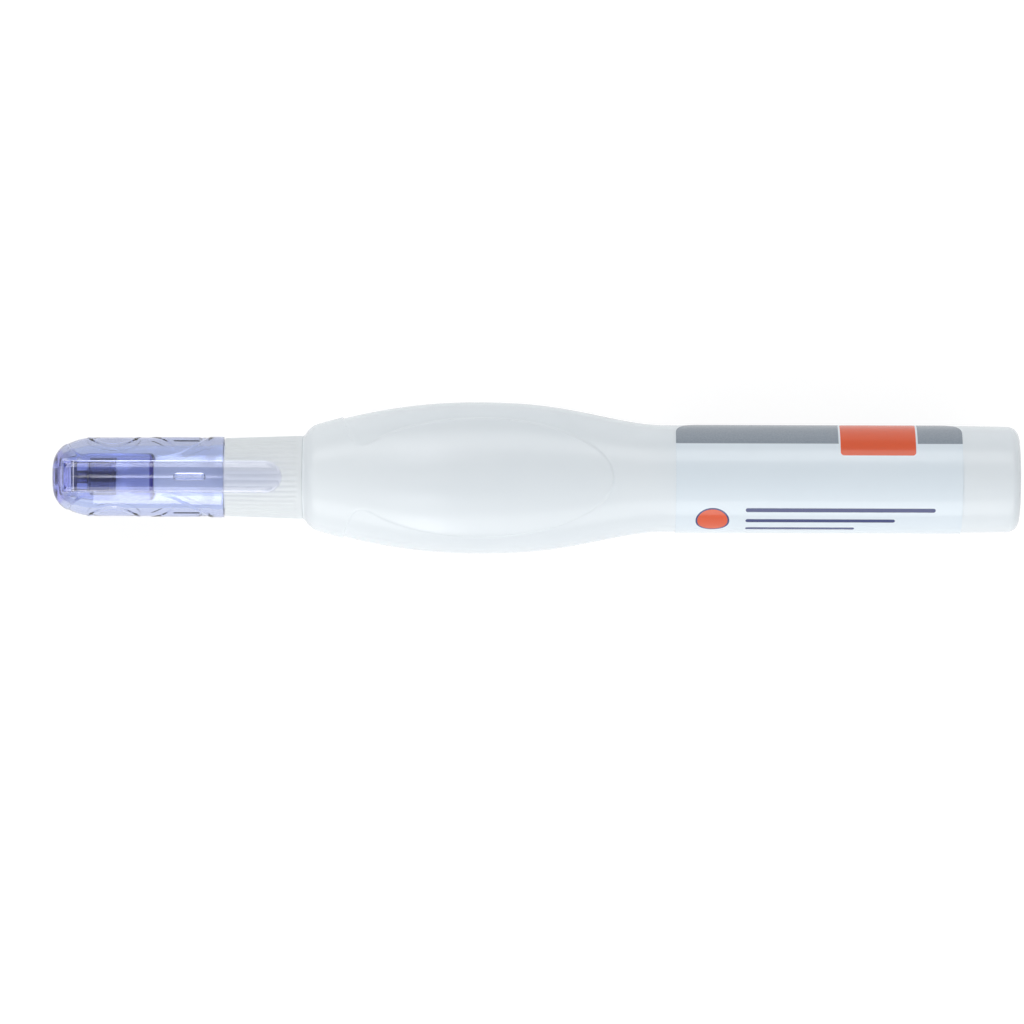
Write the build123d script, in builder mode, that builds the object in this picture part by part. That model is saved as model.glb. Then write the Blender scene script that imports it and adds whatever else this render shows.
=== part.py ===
from build123d import *
from math import cos, pi, sin, sqrt
import os

# A squeeze-body correction pen, lying on one of the two broad faces of its grip.
# The pen's axis is X, with the cap towards -X and the closed tail towards +X. The
# origin is halfway along that axis, Y runs across the grip and +Z is up.
# All sizes are in millimetres.

# Barrel: a hollow squeeze moulding, a flattened grip that runs into a round tail
barrel_length = 100.0
barrel_wall = 1.1
barrel_front_wall = 3.2
barrel_base_wall = 1.4
mouth_radius = 4.6
shoulder_radius = 6.6
shoulder_edge_radius = 2.0
shoulder_lip_share = 0.95
shoulder_ring_length = 5.55
grip_front_length = 24.0
grip_rear_length = 26.5
grip_half_width = 10.56
grip_half_depth = 8.8
tail_radius = 7.45
tail_taper_length = 7.4
base_radius = 7.35
base_edge_radius = 1.65
# Stations of the grip's sections, along its front and its rear stretch
grip_front_shares = (0.0, 0.12, 0.27, 0.45, 0.65, 0.83, 1.0)
grip_rear_shares = (0.15, 0.3, 0.45, 0.58, 0.7, 0.8, 0.9, 1.0)
# How late the rear stretch draws in towards the tail
grip_lean_share = 1.4

# Thumb pads: the raised skin of the two broad faces, one with the shoulder ring
pad_rise = 0.16
pad_length = 37.2
pad_width = 16.4
pad_front_gap = 0.55
pad_neck_width = 8.9
pad_notch_radius = 1.5

# Label: a film wrapped round the tail, with its seam on the +Y side
label_length = 39.85
label_thickness = 0.14
label_glue = 0.02
label_front_gap = 1.5
label_seam_width = 2.6
label_corner_radius = 3.0

# Collar: the ribbed neck piece, pressed into the barrel's mouth, with a slim stem
collar_length = 10.9
collar_front_radius = 5.45
collar_rear_radius = 5.78
collar_edge_bevel = 0.15
collar_band_length = 0.85
collar_front_wall = 1.4
collar_rib_count = 36
collar_groove_radius = 5.52
plug_length = 5.5
plug_fit = 0.03
plug_wall = 1.0
plug_ring_count = 3
plug_ring_height = 0.12
plug_ring_length = 0.6

stem_radius = 1.4
stem_reach = 15.15
stem_grip = 1.1
stem_bore_length = 5.0
stem_channel_radius = 0.6
stem_fit = 0.02

# Metal tip: the turned nozzle on the stem's front end
tip_nose_radius = 0.47
tip_nose_length = 1.5
tip_base_radius = 2.05
tip_base_length = 3.95
tip_face_slope = 0.25
tip_base_bevel = 0.3
tip_chamber_radius = 1.1
tip_orifice_radius = 0.33
tip_orifice_length = 3.3

# Valve needle: closes the orifice on a cone and stands a little proud of the nose
needle_radius = 0.3
needle_reach = 0.4
needle_point_radius = 0.12
needle_head_radius = 0.95
needle_head_length = 0.9
needle_tail_radius = 0.45
needle_tail_length = 2.0
needle_seat_gap = 0.03

# Valve spring: a coil between the needle's head and the step inside the stem
spring_radius = 0.85
spring_wire_radius = 0.1
spring_turn_count = 6
spring_end_gap = 0.02
spring_side_gap = 0.06

# Cap seal: a rubber pad with a dimple for the nose, at the end of the cap's sleeve
seal_radius = 1.5
seal_floor = 0.5
seal_rim = 0.75
seal_dimple_radius = 0.65
seal_air = 0.2
seal_fit = 0.02

# Cap: a clear shell with an inner sleeve that slides over the tip
cap_radius = 5.65
cap_wall = 1.25
cap_end_wall = 2.4
cap_flat_radius = 1.4
cap_dome_radius = 4.65
cap_dome_length = 1.95
cap_flank_length = 4.05
cap_mouth_depth = 1.95
cap_mouth_wall = 1.1
cap_seat_gap = 0.1
cap_gap_lead = 0.35
cap_sleeve_wall = 1.15
cap_sleeve_fit = 0.1
cap_sleeve_overlap = 5.3
cap_sleeve_bevel = 0.35
cap_panel_depth = 0.2
cap_panel_half_width = 5.06
cap_panel_end_margin = 2.0
cap_panel_end_length = 3.6
cap_panel_mouth_margin = 2.1
cap_panel_mouth_length = 7.1

# Pocket clip: a bar moulded with the cap, from its closed end out over the collar
clip_width = 4.45
clip_gap = 1.3
clip_thickness = 1.15
clip_overhang = 8.2
clip_root_setback = 1.8
clip_root_length = 1.95
clip_heel_radius = 0.7
clip_crotch_radius = 0.5
clip_edge_radius = 0.4
clip_bead_length = 4.5
clip_bead_width = 1.06
clip_bead_rise = 0.7
clip_bead_setback = 4.6

# Mixing ball: lies on the floor of the tail's bore, at its rear end
ball_radius = 2.5
ball_gap = 0.1

# How far a cutter runs past the face it cuts
overrun = 1.0

# Places along the pen's axis, worked out from the sizes above
tip_reach = stem_reach + tip_base_length + tip_nose_length
cap_reach = tip_reach + needle_reach + seal_air + seal_floor + cap_end_wall
pen_length = cap_reach + collar_length + barrel_length
cap_end_x = -pen_length / 2
collar_front_x = cap_end_x + cap_reach
barrel_front_x = collar_front_x + collar_length
barrel_rear_x = barrel_front_x + barrel_length
grip_widest_x = barrel_front_x + grip_front_length
tail_front_x = grip_widest_x + grip_rear_length
label_front_x = tail_front_x + label_front_gap
stem_front_x = collar_front_x - stem_reach
tip_base_x = stem_front_x - tip_base_length
tip_nose_x = tip_base_x - tip_nose_length
tip_seat_x = tip_nose_x + tip_orifice_length
spring_seat_x = stem_front_x + stem_bore_length
needle_point_x = tip_nose_x - needle_reach
needle_head_x = tip_seat_x + needle_seat_gap + needle_head_radius - tip_orifice_radius
needle_head_end_x = needle_head_x + needle_head_length
seal_floor_x = needle_point_x - seal_air
seal_back_x = seal_floor_x - seal_floor
cap_mouth_x = collar_front_x - cap_seat_gap


def grip_sections(growth):
    """Each station of the grip, as its X with its half width and half depth."""
    sections = []
    for share in grip_front_shares:
        swell = 1 - (1 - share) ** 2
        half_sizes = [
            shoulder_radius + (half_size - shoulder_radius) * swell + growth
            for half_size in (grip_half_width, grip_half_depth)
        ]
        sections.append((barrel_front_x + grip_front_length * share, *half_sizes))
    for share in grip_rear_shares:
        eased = share**grip_lean_share
        swell = 1 - eased**2 * (3 - 2 * eased)
        half_sizes = [
            tail_radius + (half_size - tail_radius) * swell + growth
            for half_size in (grip_half_width, grip_half_depth)
        ]
        sections.append((grip_widest_x + grip_rear_length * share, *half_sizes))
    return sections


def grip_skin(growth):
    """The grip's smooth form, lofted through ellipses that grow or shrink alike."""
    with BuildPart() as skin:
        for x, half_width, half_depth in grip_sections(growth):
            with BuildSketch(Plane.YZ.offset(x)):
                Ellipse(half_width, half_depth)
        loft()
    return skin.part


# Thumb pads: the grown skin, kept inside an oval that opens into the shoulder ring
ring_end_x = barrel_front_x + shoulder_ring_length
with BuildPart() as grip_pads:
    add(grip_skin(pad_rise))
    with BuildSketch() as pad_outline:
        with Locations((ring_end_x + pad_front_gap + pad_length / 2, 0)):
            Ellipse(pad_length / 2, pad_width / 2)
        with Locations((barrel_front_x - overrun, 0)):
            Rectangle(
                overrun + shoulder_ring_length,
                2 * (grip_half_width + overrun),
                align=(Align.MIN, Align.CENTER),
            )
            Rectangle(
                overrun + grip_front_length,
                pad_neck_width,
                align=(Align.MIN, Align.CENTER),
            )
        notch_corners = pad_outline.vertices().group_by(Axis.X)[1]
        fillet(notch_corners.sort_by(lambda corner: abs(corner.Y))[:2], pad_notch_radius)
    extrude(amount=grip_half_depth + overrun, both=True, mode=Mode.INTERSECT)

# The room inside the barrel, a wall's thickness within its outside
with BuildPart() as chamber:
    add(grip_skin(-barrel_wall))
    split(bisect_by=Plane.YZ.offset(barrel_front_x + barrel_front_wall), keep=Keep.TOP)
    with BuildSketch() as chamber_tail:
        bore_radius = tail_radius - barrel_wall
        bore_end_x = barrel_rear_x - barrel_base_wall
        with BuildLine():
            Polyline(
                (tail_front_x, 0),
                (tail_front_x, bore_radius),
                (bore_end_x - tail_taper_length, bore_radius),
                (bore_end_x, base_radius - barrel_wall),
                (bore_end_x, 0),
                close=True,
            )
        make_face()
        bore_corner = chamber_tail.vertices().group_by(Axis.X)[-1].sort_by(Axis.Y)[-1]
        fillet(bore_corner, base_edge_radius)
    revolve(axis=Axis.X)

with BuildPart() as barrel:
    add(grip_skin(0))
    add(grip_pads.part)
    with BuildSketch() as tail_profile:
        with BuildLine():
            Polyline(
                (tail_front_x, 0),
                (tail_front_x, tail_radius),
                (barrel_rear_x - tail_taper_length, tail_radius),
                (barrel_rear_x, base_radius),
                (barrel_rear_x, 0),
                close=True,
            )
        make_face()
        base_corner = tail_profile.vertices().group_by(Axis.X)[-1].sort_by(Axis.Y)[-1]
        fillet(base_corner, base_edge_radius)
    revolve(axis=Axis.X)
    mouth_lip = shoulder_radius + pad_rise - mouth_radius
    front_edge = barrel.faces().sort_by(Axis.X)[0].edges()
    fillet(front_edge, min(shoulder_edge_radius, mouth_lip * shoulder_lip_share))
    add(chamber.part, mode=Mode.SUBTRACT)
    with BuildSketch(Plane.YZ.offset(barrel_front_x)):
        Circle(mouth_radius)
    extrude(amount=barrel_front_wall + overrun, mode=Mode.SUBTRACT)

# Label: a ring of film, slit along its seam, with the four corners rounded
with BuildPart() as label:
    with BuildSketch(Plane.YZ.offset(label_front_x)):
        Circle(tail_radius + label_glue + label_thickness)
        Circle(tail_radius + label_glue, mode=Mode.SUBTRACT)
    extrude(amount=label_length)
    with BuildSketch(Plane.XZ) as seam:
        with Locations((label_front_x + label_length / 2, 0)):
            Rectangle(label_length + overrun, label_seam_width)
            with GridLocations(label_length + overrun, 0, 2, 1):
                Rectangle(overrun, label_seam_width + 2 * (label_corner_radius + overrun))
        fillet(
            seam.vertices().sort_by(lambda corner: abs(corner.Y))[:4],
            label_corner_radius,
        )
    extrude(amount=-(tail_radius + label_thickness + overrun), mode=Mode.SUBTRACT)

# Collar: slim stem, bored for the spring and drilled for the fluid, tapered ribbed neck,
# smooth rear band and a hollow plug with rings
plug_core_radius = mouth_radius - plug_fit - plug_ring_height
plug_bore_radius = plug_core_radius - plug_wall
stem_bore_radius = spring_radius + spring_wire_radius + spring_side_gap
stem_end_x = stem_front_x - stem_grip
band_front_x = barrel_front_x - collar_band_length
plug_end_x = barrel_front_x + plug_length
with BuildPart() as collar:
    with BuildSketch():
        with BuildLine():
            Polyline(
                (stem_end_x, stem_bore_radius),
                (stem_end_x, stem_radius),
                (collar_front_x, stem_radius),
                (collar_front_x, collar_front_radius - collar_edge_bevel),
                (collar_front_x + collar_edge_bevel, collar_front_radius),
                (band_front_x, collar_rear_radius),
                (barrel_front_x, collar_rear_radius),
                (barrel_front_x, plug_core_radius),
                (plug_end_x - collar_edge_bevel, plug_core_radius),
                (plug_end_x, plug_core_radius - collar_edge_bevel),
                (plug_end_x, plug_bore_radius),
                (collar_front_x + collar_front_wall, plug_bore_radius),
                (collar_front_x + collar_front_wall, stem_channel_radius),
                (spring_seat_x, stem_channel_radius),
                (spring_seat_x, stem_bore_radius),
                close=True,
            )
        make_face()
    revolve(axis=Axis.X)
    groove_depth = collar_rear_radius - collar_groove_radius
    with BuildSketch(Plane.YZ.offset(collar_front_x - overrun)):
        with PolarLocations(collar_groove_radius, collar_rib_count):
            Polygon(
                (0, 0),
                (2 * groove_depth, 2 * groove_depth),
                (2 * groove_depth, -2 * groove_depth),
                align=None,
            )
    extrude(amount=overrun + band_front_x - collar_front_x, mode=Mode.SUBTRACT)
    ring_pitch = plug_length / (plug_ring_count + 1)
    for ring in range(plug_ring_count):
        ring_x = barrel_front_x + ring_pitch * (ring + 1) - plug_ring_length / 2
        with BuildSketch(Plane.YZ.offset(ring_x)):
            Circle(plug_core_radius + plug_ring_height)
            Circle(plug_core_radius - plug_wall / 2, mode=Mode.SUBTRACT)
        extrude(amount=plug_ring_length)

# Metal tip: nose and base turned in one, bored from behind for the stem, the needle's
# head and its seat
tip_socket_radius = stem_radius + stem_fit
tip_socket_x = stem_end_x - stem_fit
with BuildPart() as metal_tip:
    with BuildSketch():
        with BuildLine():
            Polyline(
                (tip_nose_x, tip_orifice_radius),
                (tip_nose_x, tip_nose_radius),
                (tip_base_x, tip_nose_radius),
                (tip_base_x + tip_face_slope, tip_base_radius - tip_base_bevel),
                (tip_base_x + tip_face_slope + tip_base_bevel, tip_base_radius),
                (stem_front_x, tip_base_radius),
                (stem_front_x, tip_socket_radius),
                (tip_socket_x, tip_socket_radius),
                (tip_socket_x, tip_chamber_radius),
                (tip_seat_x + tip_chamber_radius - tip_orifice_radius, tip_chamber_radius),
                (tip_seat_x, tip_orifice_radius),
                close=True,
            )
        make_face()
    revolve(axis=Axis.X)

# Valve needle: rounded pin, conical head that fits the seat, and a guide for the spring
with BuildPart() as valve_needle:
    with BuildSketch() as needle_profile:
        with BuildLine():
            Polyline(
                (needle_point_x, 0),
                (needle_point_x, needle_radius),
                (needle_head_x - needle_head_radius + needle_radius, needle_radius),
                (needle_head_x, needle_head_radius),
                (needle_head_end_x, needle_head_radius),
                (needle_head_end_x, needle_tail_radius),
                (needle_head_end_x + needle_tail_length, needle_tail_radius),
                (needle_head_end_x + needle_tail_length, 0),
                close=True,
            )
        make_face()
        point_corner = needle_profile.vertices().group_by(Axis.X)[0].sort_by(Axis.Y)[-1]
        fillet(point_corner, needle_point_radius)
    revolve(axis=Axis.X)

# Valve spring: one wire, wound as a chain of tangent arcs, two to each half turn
spring_front_x = needle_head_end_x + spring_end_gap + spring_wire_radius
spring_rear_x = spring_seat_x - spring_end_gap - spring_wire_radius
spring_pitch = (spring_rear_x - spring_front_x) / spring_turn_count


def coil_point(turn):
    """The wire's centre after so many turns from the needle's head."""
    angle = 2 * pi * turn
    return Vector(
        spring_front_x + spring_pitch * turn,
        spring_radius * cos(angle),
        spring_radius * sin(angle),
    )


def coil_direction(turn):
    """The wire's unit direction after so many turns."""
    angle = 2 * pi * turn
    around = 2 * pi * spring_radius
    return Vector(spring_pitch, -around * sin(angle), around * cos(angle)).normalized()


def tangent_arc_pair(start, start_direction, end, end_direction):
    """Two arcs that join two points smoothly and keep both end directions."""
    chord = end - start
    lean = start_direction + end_direction
    square = 4 - lean.dot(lean)
    along = chord.dot(lean)
    arm = (sqrt(along**2 + square * chord.dot(chord)) - along) / square
    start_arm = start + start_direction * arm
    end_arm = end - end_direction * arm
    middle = (start_arm + end_arm) * 0.5
    TangentArc(start, middle, tangent=start_direction)
    TangentArc(middle, end, tangent=(end_arm - start_arm).normalized())


with BuildPart() as valve_spring:
    with BuildLine():
        for half_turn in range(2 * spring_turn_count):
            start_turn = half_turn / 2
            end_turn = (half_turn + 1) / 2
            tangent_arc_pair(
                coil_point(start_turn),
                coil_direction(start_turn),
                coil_point(end_turn),
                coil_direction(end_turn),
            )
    with BuildSketch(Plane(coil_point(0), z_dir=coil_direction(0))):
        Circle(spring_wire_radius)
    sweep()
points_per_turn = 24
coil_points = [
    coil_point(step / points_per_turn)
    for step in range(spring_turn_count * points_per_turn + 1)
]
least_gap = min(
    (later - earlier).length - 2 * spring_wire_radius
    for place, earlier in enumerate(coil_points)
    for later in coil_points[place + points_per_turn // 2 :]
)
print("least gap between the spring's turns, mm:", round(least_gap, 3))

# Cap seal: a rubber pad with a dimple that the nose stands in
seal_face_x = seal_floor_x + seal_rim
with BuildPart() as cap_seal:
    with BuildSketch():
        with BuildLine():
            Polyline(
                (seal_back_x, 0),
                (seal_back_x, seal_radius),
                (seal_face_x, seal_radius),
                (seal_face_x, seal_dimple_radius),
                (seal_floor_x, seal_dimple_radius),
                (seal_floor_x, 0),
                close=True,
            )
        make_face()
    revolve(axis=Axis.X)

# Cap: the outside with its two recessed side panels, then the room inside it
cap_dome_x = cap_end_x + cap_dome_length
cap_flank_x = cap_dome_x + cap_flank_length


def cap_outside(drop):
    """The cap's turned outside, filled, with its radius taken down all along."""
    with BuildPart() as outside:
        with BuildSketch():
            with BuildLine():
                end_flat = Line((cap_end_x, 0), (cap_end_x, cap_flat_radius - drop))
                dome = TangentArc(
                    end_flat @ 1,
                    (cap_dome_x, cap_dome_radius - drop),
                    tangent=(0, 1),
                )
                flank = TangentArc(
                    (cap_flank_x, cap_radius - drop), dome @ 1, tangent=(-1, 0)
                )
                Polyline(
                    flank @ 0,
                    (cap_mouth_x, cap_radius - drop),
                    (cap_mouth_x, 0),
                    end_flat @ 0,
                )
            make_face()
        revolve(axis=Axis.X)
    return outside.part


# Panels: straight-sided, with each end drawn out into half an oval of its own length
panel_front_x = cap_end_x + cap_panel_end_margin + cap_panel_end_length
panel_rear_x = cap_mouth_x - cap_panel_mouth_margin - cap_panel_mouth_length
with BuildPart() as cap_panels:
    add(cap_outside(0))
    add(cap_outside(cap_panel_depth), mode=Mode.SUBTRACT)
    with BuildSketch(Plane.XZ):
        with Locations((panel_front_x, 0)):
            Ellipse(cap_panel_end_length, cap_panel_half_width)
            Rectangle(
                panel_rear_x - panel_front_x,
                2 * cap_panel_half_width,
                align=(Align.MIN, Align.CENTER),
            )
        with Locations((panel_rear_x, 0)):
            Ellipse(cap_panel_mouth_length, cap_panel_half_width)
    extrude(amount=cap_radius + overrun, both=True, mode=Mode.INTERSECT)

# Pocket clip: a heel on the cap's end, a straight arm with a round end and a bead below
clip_under_z = cap_radius + clip_gap
clip_top_z = clip_under_z + clip_thickness
clip_root_x = cap_end_x + clip_root_setback
clip_end_x = cap_mouth_x + clip_overhang
with BuildPart() as clip:
    with BuildSketch(Plane.XZ) as clip_side:
        with BuildLine():
            Polyline(
                (clip_root_x, 0),
                (clip_root_x, clip_top_z),
                (clip_end_x, clip_top_z),
                (clip_end_x, clip_under_z),
                (clip_root_x + clip_root_length, clip_under_z),
                (clip_root_x + clip_root_length, 0),
                close=True,
            )
        make_face()
        crotch_corner = clip_side.vertices().group_by(Axis.Y)[1].sort_by(Axis.X)[0]
        fillet(crotch_corner, clip_crotch_radius)
        heel_corner = clip_side.vertices().group_by(Axis.Y)[-1].sort_by(Axis.X)[0]
        fillet(heel_corner, clip_heel_radius)
    extrude(amount=clip_width / 2, both=True)
    with BuildSketch():
        with Locations((clip_end_x, 0)):
            SlotOverall(
                clip_end_x - clip_root_x + clip_width + overrun,
                clip_width,
                align=(Align.MAX, Align.CENTER),
            )
    extrude(amount=clip_top_z + overrun, mode=Mode.INTERSECT)
    clip_rim = clip.faces().sort_by(Axis.Z)[-1].edges().filter_by(Axis.Y, reverse=True)
    fillet(clip_rim, clip_edge_radius)
    with BuildSketch(Plane.XY.offset(clip_under_z - clip_bead_rise)):
        with Locations((cap_mouth_x - clip_bead_setback, 0)):
            SlotOverall(clip_bead_length, clip_bead_width)
    extrude(amount=clip_bead_rise + clip_thickness / 2)

sleeve_bore_radius = tip_base_radius + cap_sleeve_fit
sleeve_radius = sleeve_bore_radius + cap_sleeve_wall
sleeve_rim_x = stem_front_x + cap_sleeve_overlap
shell_bore_radius = cap_radius - cap_wall
mouth_bore_radius = cap_radius - cap_mouth_wall
mouth_step_x = cap_mouth_x - cap_mouth_depth
pocket_radius = seal_radius + seal_fit
gap_end_x = seal_back_x - cap_gap_lead
with BuildPart() as cap:
    add(cap_outside(0))
    add(cap_panels.part, mode=Mode.SUBTRACT)
    add(clip.part)
    with BuildSketch():
        with BuildLine():
            Polyline(
                (cap_mouth_x, 0),
                (cap_mouth_x, mouth_bore_radius),
                (mouth_step_x, mouth_bore_radius),
                (mouth_step_x, shell_bore_radius),
                (cap_flank_x, shell_bore_radius),
                (gap_end_x, sleeve_radius),
                (sleeve_rim_x, sleeve_radius),
                (sleeve_rim_x, sleeve_bore_radius + cap_sleeve_bevel),
                (sleeve_rim_x - cap_sleeve_bevel, sleeve_bore_radius),
                (seal_face_x, sleeve_bore_radius),
                (seal_face_x, pocket_radius),
                (seal_back_x, pocket_radius),
                (seal_back_x, 0),
                close=True,
            )
        make_face()
    revolve(axis=Axis.X, mode=Mode.SUBTRACT)

# Mixing ball: a plain steel ball, loose in the barrel
ball_x = barrel_rear_x - barrel_base_wall - base_edge_radius - ball_radius - ball_gap
ball_z = -(base_radius - barrel_wall - ball_radius - ball_gap)
with BuildPart() as mixing_ball:
    with Locations((ball_x, 0, ball_z)):
        Sphere(ball_radius)

os.makedirs("parts", exist_ok=True)
barrel.part.label = "barrel"
export_step(barrel.part, "parts/barrel.step")
label.part.label = "label"
export_step(label.part, "parts/label.step")
collar.part.label = "collar"
export_step(collar.part, "parts/collar.step")
metal_tip.part.label = "metal_tip"
export_step(metal_tip.part, "parts/metal_tip.step")
valve_needle.part.label = "valve_needle"
export_step(valve_needle.part, "parts/valve_needle.step")
valve_spring.part.label = "valve_spring"
export_step(valve_spring.part, "parts/valve_spring.step")
cap_seal.part.label = "cap_seal"
export_step(cap_seal.part, "parts/cap_seal.step")
cap.part.label = "cap"
export_step(cap.part, "parts/cap.step")
mixing_ball.part.label = "mixing_ball"
export_step(mixing_ball.part, "parts/mixing_ball.step")
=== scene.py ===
from math import pi, radians, sqrt

import bmesh
import bpy
import numpy as np
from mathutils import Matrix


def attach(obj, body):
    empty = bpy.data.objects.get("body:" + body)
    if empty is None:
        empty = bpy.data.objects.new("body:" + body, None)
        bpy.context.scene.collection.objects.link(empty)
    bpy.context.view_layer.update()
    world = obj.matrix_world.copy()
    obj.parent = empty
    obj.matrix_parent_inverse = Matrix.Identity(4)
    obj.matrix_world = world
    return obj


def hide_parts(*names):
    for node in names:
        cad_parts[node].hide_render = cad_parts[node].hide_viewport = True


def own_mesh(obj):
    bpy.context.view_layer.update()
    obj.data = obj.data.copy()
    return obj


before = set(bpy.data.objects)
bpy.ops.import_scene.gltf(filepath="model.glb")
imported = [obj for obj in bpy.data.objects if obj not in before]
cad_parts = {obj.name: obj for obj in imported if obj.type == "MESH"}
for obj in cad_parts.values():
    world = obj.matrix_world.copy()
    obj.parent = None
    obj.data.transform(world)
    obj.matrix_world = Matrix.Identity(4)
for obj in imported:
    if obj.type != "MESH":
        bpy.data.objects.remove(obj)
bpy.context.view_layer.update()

# Barrel: the squeeze body, one hollow moulding of satin white polyethylene. Its flattened
# grip has a raised pad on each broad face, and it runs into a round tail, closed behind.
millimetre = 0.001
tiny = 1e-6
barrel_columns = 288
barrel_front = -32.5
barrel_rear = 67.5
barrel_wall = 1.1
barrel_front_wall = 3.2
barrel_base_wall = 1.4
mouth_radius = 4.6
shoulder_radius = 6.6
shoulder_round = 2.0
shoulder_drop = 1.0
grip_widest = -8.5
grip_half_width = 10.56
grip_half_depth = 8.74
grip_lean = 1.4
tail_front = 18.0
tail_radius = 7.45
tail_taper = 7.4
base_radius = 7.35
base_round = 1.65
pad_rise = 0.22
pad_centre = -7.8
pad_half_length = 18.6
pad_half_width = 8.2
pad_notch_blend = 3.4
pad_edge_width = 0.28
ring_edge = -26.9
ring_edge_lean = 0.36
ring_edge_reach = 8.3
ring_edge_span = 4.0


def soft_step(value):
    """0 below 0, 1 above 1, and a smooth rise between."""
    share = np.clip(value, 0, 1)
    return share * share * (3 - 2 * share)


def round_off(distance, radius):
    """How far a rounded edge has dropped at some distance in from that edge."""
    short = np.clip(radius - distance, 0, radius)
    return radius - np.sqrt(radius**2 - short**2)


def soft_union(first, second, blend):
    """Two signed distances joined into one, with the corner between them filled."""
    share = np.clip(0.5 + 0.5 * (second - first) / blend, 0, 1)
    return second * (1 - share) + first * share - blend * share * (1 - share)


def grip_half_sizes(x):
    """Half width and half depth of the bare barrel at a place along it."""
    if x < grip_widest:
        share = (x - barrel_front) / (grip_widest - barrel_front)
        swell = 1 - (1 - share) ** 2
        neck = shoulder_radius
    elif x < tail_front:
        share = ((x - grip_widest) / (tail_front - grip_widest)) ** grip_lean
        swell = 1 - share**2 * (3 - 2 * share)
        neck = tail_radius
    else:
        share = max(0, (x - barrel_rear + tail_taper) / tail_taper)
        radius = tail_radius + (base_radius - tail_radius) * share
        return radius, radius
    return neck + (grip_half_width - neck) * swell, neck + (grip_half_depth - neck) * swell


def pad_cover(x, y):
    """1 on the raised pads and the shoulder ring, 0 on the lower skin between them."""
    along = (x - pad_centre) / pad_half_length
    across = y / pad_half_width
    reach = np.sqrt(along**2 + across**2) + tiny
    slope = np.sqrt((along / pad_half_length) ** 2 + (across / pad_half_width) ** 2)
    from_oval = (reach - 1) * reach / (slope + tiny)
    ring_reach = np.clip(ring_edge_reach - np.abs(y), 0, ring_edge_span)
    from_ring = x - ring_edge - ring_edge_lean * ring_reach
    return soft_step(0.5 - soft_union(from_oval, from_ring, pad_notch_blend) / pad_edge_width)


def turn_angles(columns):
    """Angles round the pen's axis, from +Y over +Z."""
    return np.linspace(0, 2 * pi, columns, endpoint=False)


def oval_ring(x, half_width, half_depth, columns):
    """One ring of points round the pen's axis."""
    angles = turn_angles(columns)
    across = half_width * np.cos(angles)
    up = half_depth * np.sin(angles)
    return np.column_stack((np.full(columns, x), across, up))


def round_ring(x, radius, columns):
    """One circle of points round the pen's axis."""
    return oval_ring(x, radius, radius, columns)


def barrel_outside(x):
    """The barrel's outer ring at a place along it, with the pads and the rounded ends."""
    half_width, half_depth = grip_half_sizes(x)
    angles = turn_angles(barrel_columns)
    rise = np.zeros(barrel_columns)
    if x < tail_front:
        rise = pad_rise * pad_cover(x, half_width * np.cos(angles))
    drop = np.minimum(round_off(x - barrel_front, shoulder_round), shoulder_drop)
    drop = drop + round_off(barrel_rear - x, base_round)
    return oval_ring(x, half_width + rise - drop, half_depth + rise - drop, barrel_columns)


def barrel_inside(x):
    """The ring of the room inside the barrel, a wall's thickness in."""
    half_width, half_depth = grip_half_sizes(x)
    drop = round_off(barrel_rear - barrel_base_wall - x, base_round) + barrel_wall
    return oval_ring(x, half_width - drop, half_depth - drop, barrel_columns)


def round_stations(start, length, count):
    """Places along a rounded end, close together where it turns most."""
    return start + length * (1 - np.cos(np.linspace(0, pi / 2, count)))


def finish_piece(name, points, faces, crease):
    """A mesh piece from points in millimetres, smooth but for edges above the crease angle."""
    mesh = bpy.data.meshes.new(name)
    mesh.from_pydata((np.asarray(points) * millimetre).tolist(), [], faces)
    turned = bmesh.new()
    turned.from_mesh(mesh)
    bmesh.ops.recalc_face_normals(turned, faces=turned.faces)
    turned.to_mesh(mesh)
    turned.free()
    mesh.shade_smooth()
    mesh.set_sharp_from_angle(angle=radians(crease))
    piece = bpy.data.objects.new(name, mesh)
    bpy.context.scene.collection.objects.link(piece)
    return piece


def ring_faces(first, second):
    """Quads between two rings of point numbers."""
    count = len(first)
    return [
        (first[i], first[(i + 1) % count], second[(i + 1) % count], second[i])
        for i in range(count)
    ]


def closed_skin(name, rings, crease):
    """A closed piece from rings of points, each end drawn together in one middle point."""
    columns = len(rings[0])
    points = [rings[0].mean(axis=0), *np.concatenate(rings), rings[-1].mean(axis=0)]
    numbers = np.arange(1, len(points) - 1).reshape(-1, columns).tolist()
    faces = []
    for i in range(columns):
        after = (i + 1) % columns
        faces.append((0, numbers[0][after], numbers[0][i]))
        faces.append((len(points) - 1, numbers[-1][i], numbers[-1][after]))
    for first, second in zip(numbers, numbers[1:]):
        faces.extend(ring_faces(first, second))
    return finish_piece(name, points, faces, crease)


rear_face_radii = (1.5, 3.5, 5.0)
rear_band = (65.2, 60.8)
bore_end_radii = (3.0, 1.5)
end_turn_steps = 9
rear_band_steps = 3
tail_steps = 14
bore_steps = 48
bore_turn_steps = 6
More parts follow.
